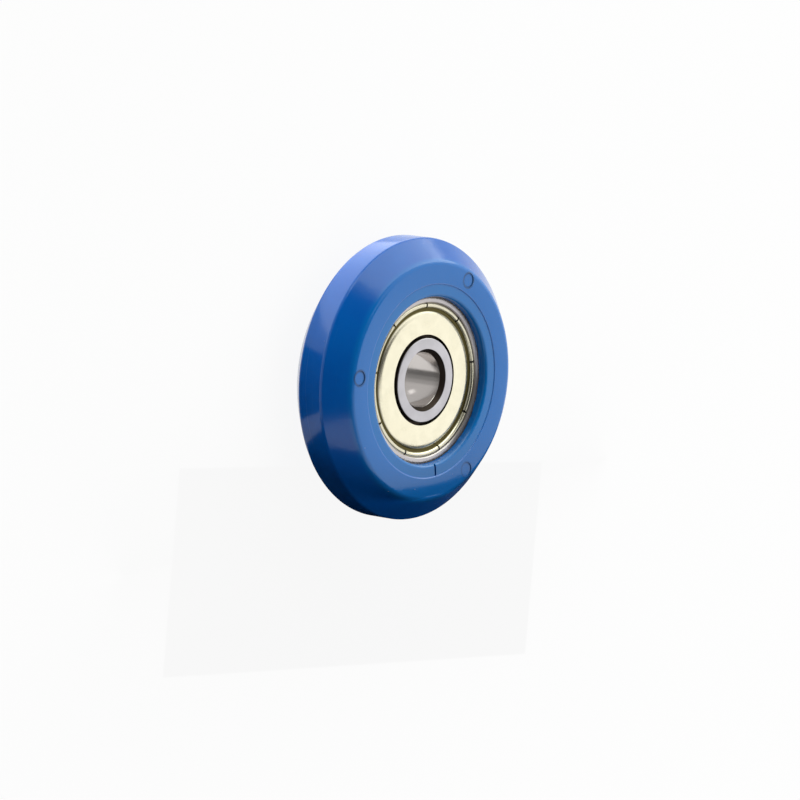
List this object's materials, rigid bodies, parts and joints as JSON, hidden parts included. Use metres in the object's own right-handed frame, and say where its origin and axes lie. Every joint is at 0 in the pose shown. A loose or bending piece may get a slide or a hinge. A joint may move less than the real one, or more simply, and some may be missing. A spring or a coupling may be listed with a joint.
{
  "type": "v groove wheel",
  "caption": "Blue plastic roller wheel with a flat tread and two 45 degree flanks, moulded round a shielded ball bearing, for running in the slot of an aluminium profile.",
  "frame": {"origin": "centre of the wheel, on the axle's axis, half way through its width", "axes": "+Z along the axle's axis, out of the side that shows the mould's pin marks; the wheel lies on its other side. +X and +Y lie in the plane of the wheel: seen as in the picture, +X points to the right and +Y points up."},
  "size_m": [0.0306, 0.0306, 0.008],
  "materials": {
    "blue_plastic": "semi-gloss moulded blue plastic, faint moulding marks",
    "ground_steel": "hardened steel, ground bore and end faces",
    "plated_sheet": "pressed steel sheet with a pale straw plating, satin",
    "cage_sheet": "pressed steel sheet, plain, oiled",
    "polished_balls": "hardened steel, polished"
  },
  "bodies": {
    "inner_race": {"inner_ring": "ground_steel"},
    "wheel": {"moulded_wheel": "blue_plastic", "outer_ring": "ground_steel", "front_shield": "plated_sheet", "back_shield": "plated_sheet"},
    "cage": {"cage_front_half": "cage_sheet", "cage_back_half": "cage_sheet"},
    "ball_1": {"ball_1": "polished_balls"},
    "ball_2": {"ball_2": "polished_balls"},
    "ball_3": {"ball_3": "polished_balls"},
    "ball_4": {"ball_4": "polished_balls"},
    "ball_5": {"ball_5": "polished_balls"},
    "ball_6": {"ball_6": "polished_balls"}
  },
  "joints": [
    {"name": "wheel_spin", "type": "hinge", "parent": "inner_race", "child": "wheel", "pos_m": [0, 0, 0], "axis": [0, 0, 1], "continuous": true},
    {"name": "cage_spin", "type": "hinge", "parent": "inner_race", "child": "cage", "pos_m": [0, 0, 0], "axis": [0, 0, 1], "continuous": true},
    {"name": "ball_1_spin", "type": "hinge", "parent": "cage", "child": "ball_1", "pos_m": [0.00625, 0, 0], "axis": [0, 0, 1], "continuous": true},
    {"name": "ball_2_spin", "type": "hinge", "parent": "cage", "child": "ball_2", "pos_m": [0.00313, 0.00541, 0], "axis": [0, 0, 1], "continuous": true},
    {"name": "ball_3_spin", "type": "hinge", "parent": "cage", "child": "ball_3", "pos_m": [-0.00313, 0.00541, 0], "axis": [0, 0, 1], "continuous": true},
    {"name": "ball_4_spin", "type": "hinge", "parent": "cage", "child": "ball_4", "pos_m": [-0.00625, 0, 0], "axis": [0, 0, 1], "continuous": true},
    {"name": "ball_5_spin", "type": "hinge", "parent": "cage", "child": "ball_5", "pos_m": [-0.00313, -0.00541, 0], "axis": [0, 0, 1], "continuous": true},
    {"name": "ball_6_spin", "type": "hinge", "parent": "cage", "child": "ball_6", "pos_m": [0.00313, -0.00541, 0], "axis": [0, 0, 1], "continuous": true}
  ],
  "couplings": [
    {"joint": "cage_spin", "follows": "wheel_spin", "ratio": 0.64},
    {"joint": "ball_1_spin", "follows": "wheel_spin", "ratio": 1.6457},
    {"joint": "ball_2_spin", "follows": "wheel_spin", "ratio": 1.6457},
    {"joint": "ball_3_spin", "follows": "wheel_spin", "ratio": 1.6457},
    {"joint": "ball_4_spin", "follows": "wheel_spin", "ratio": 1.6457},
    {"joint": "ball_5_spin", "follows": "wheel_spin", "ratio": 1.6457},
    {"joint": "ball_6_spin", "follows": "wheel_spin", "ratio": 1.6457}
  ]
}
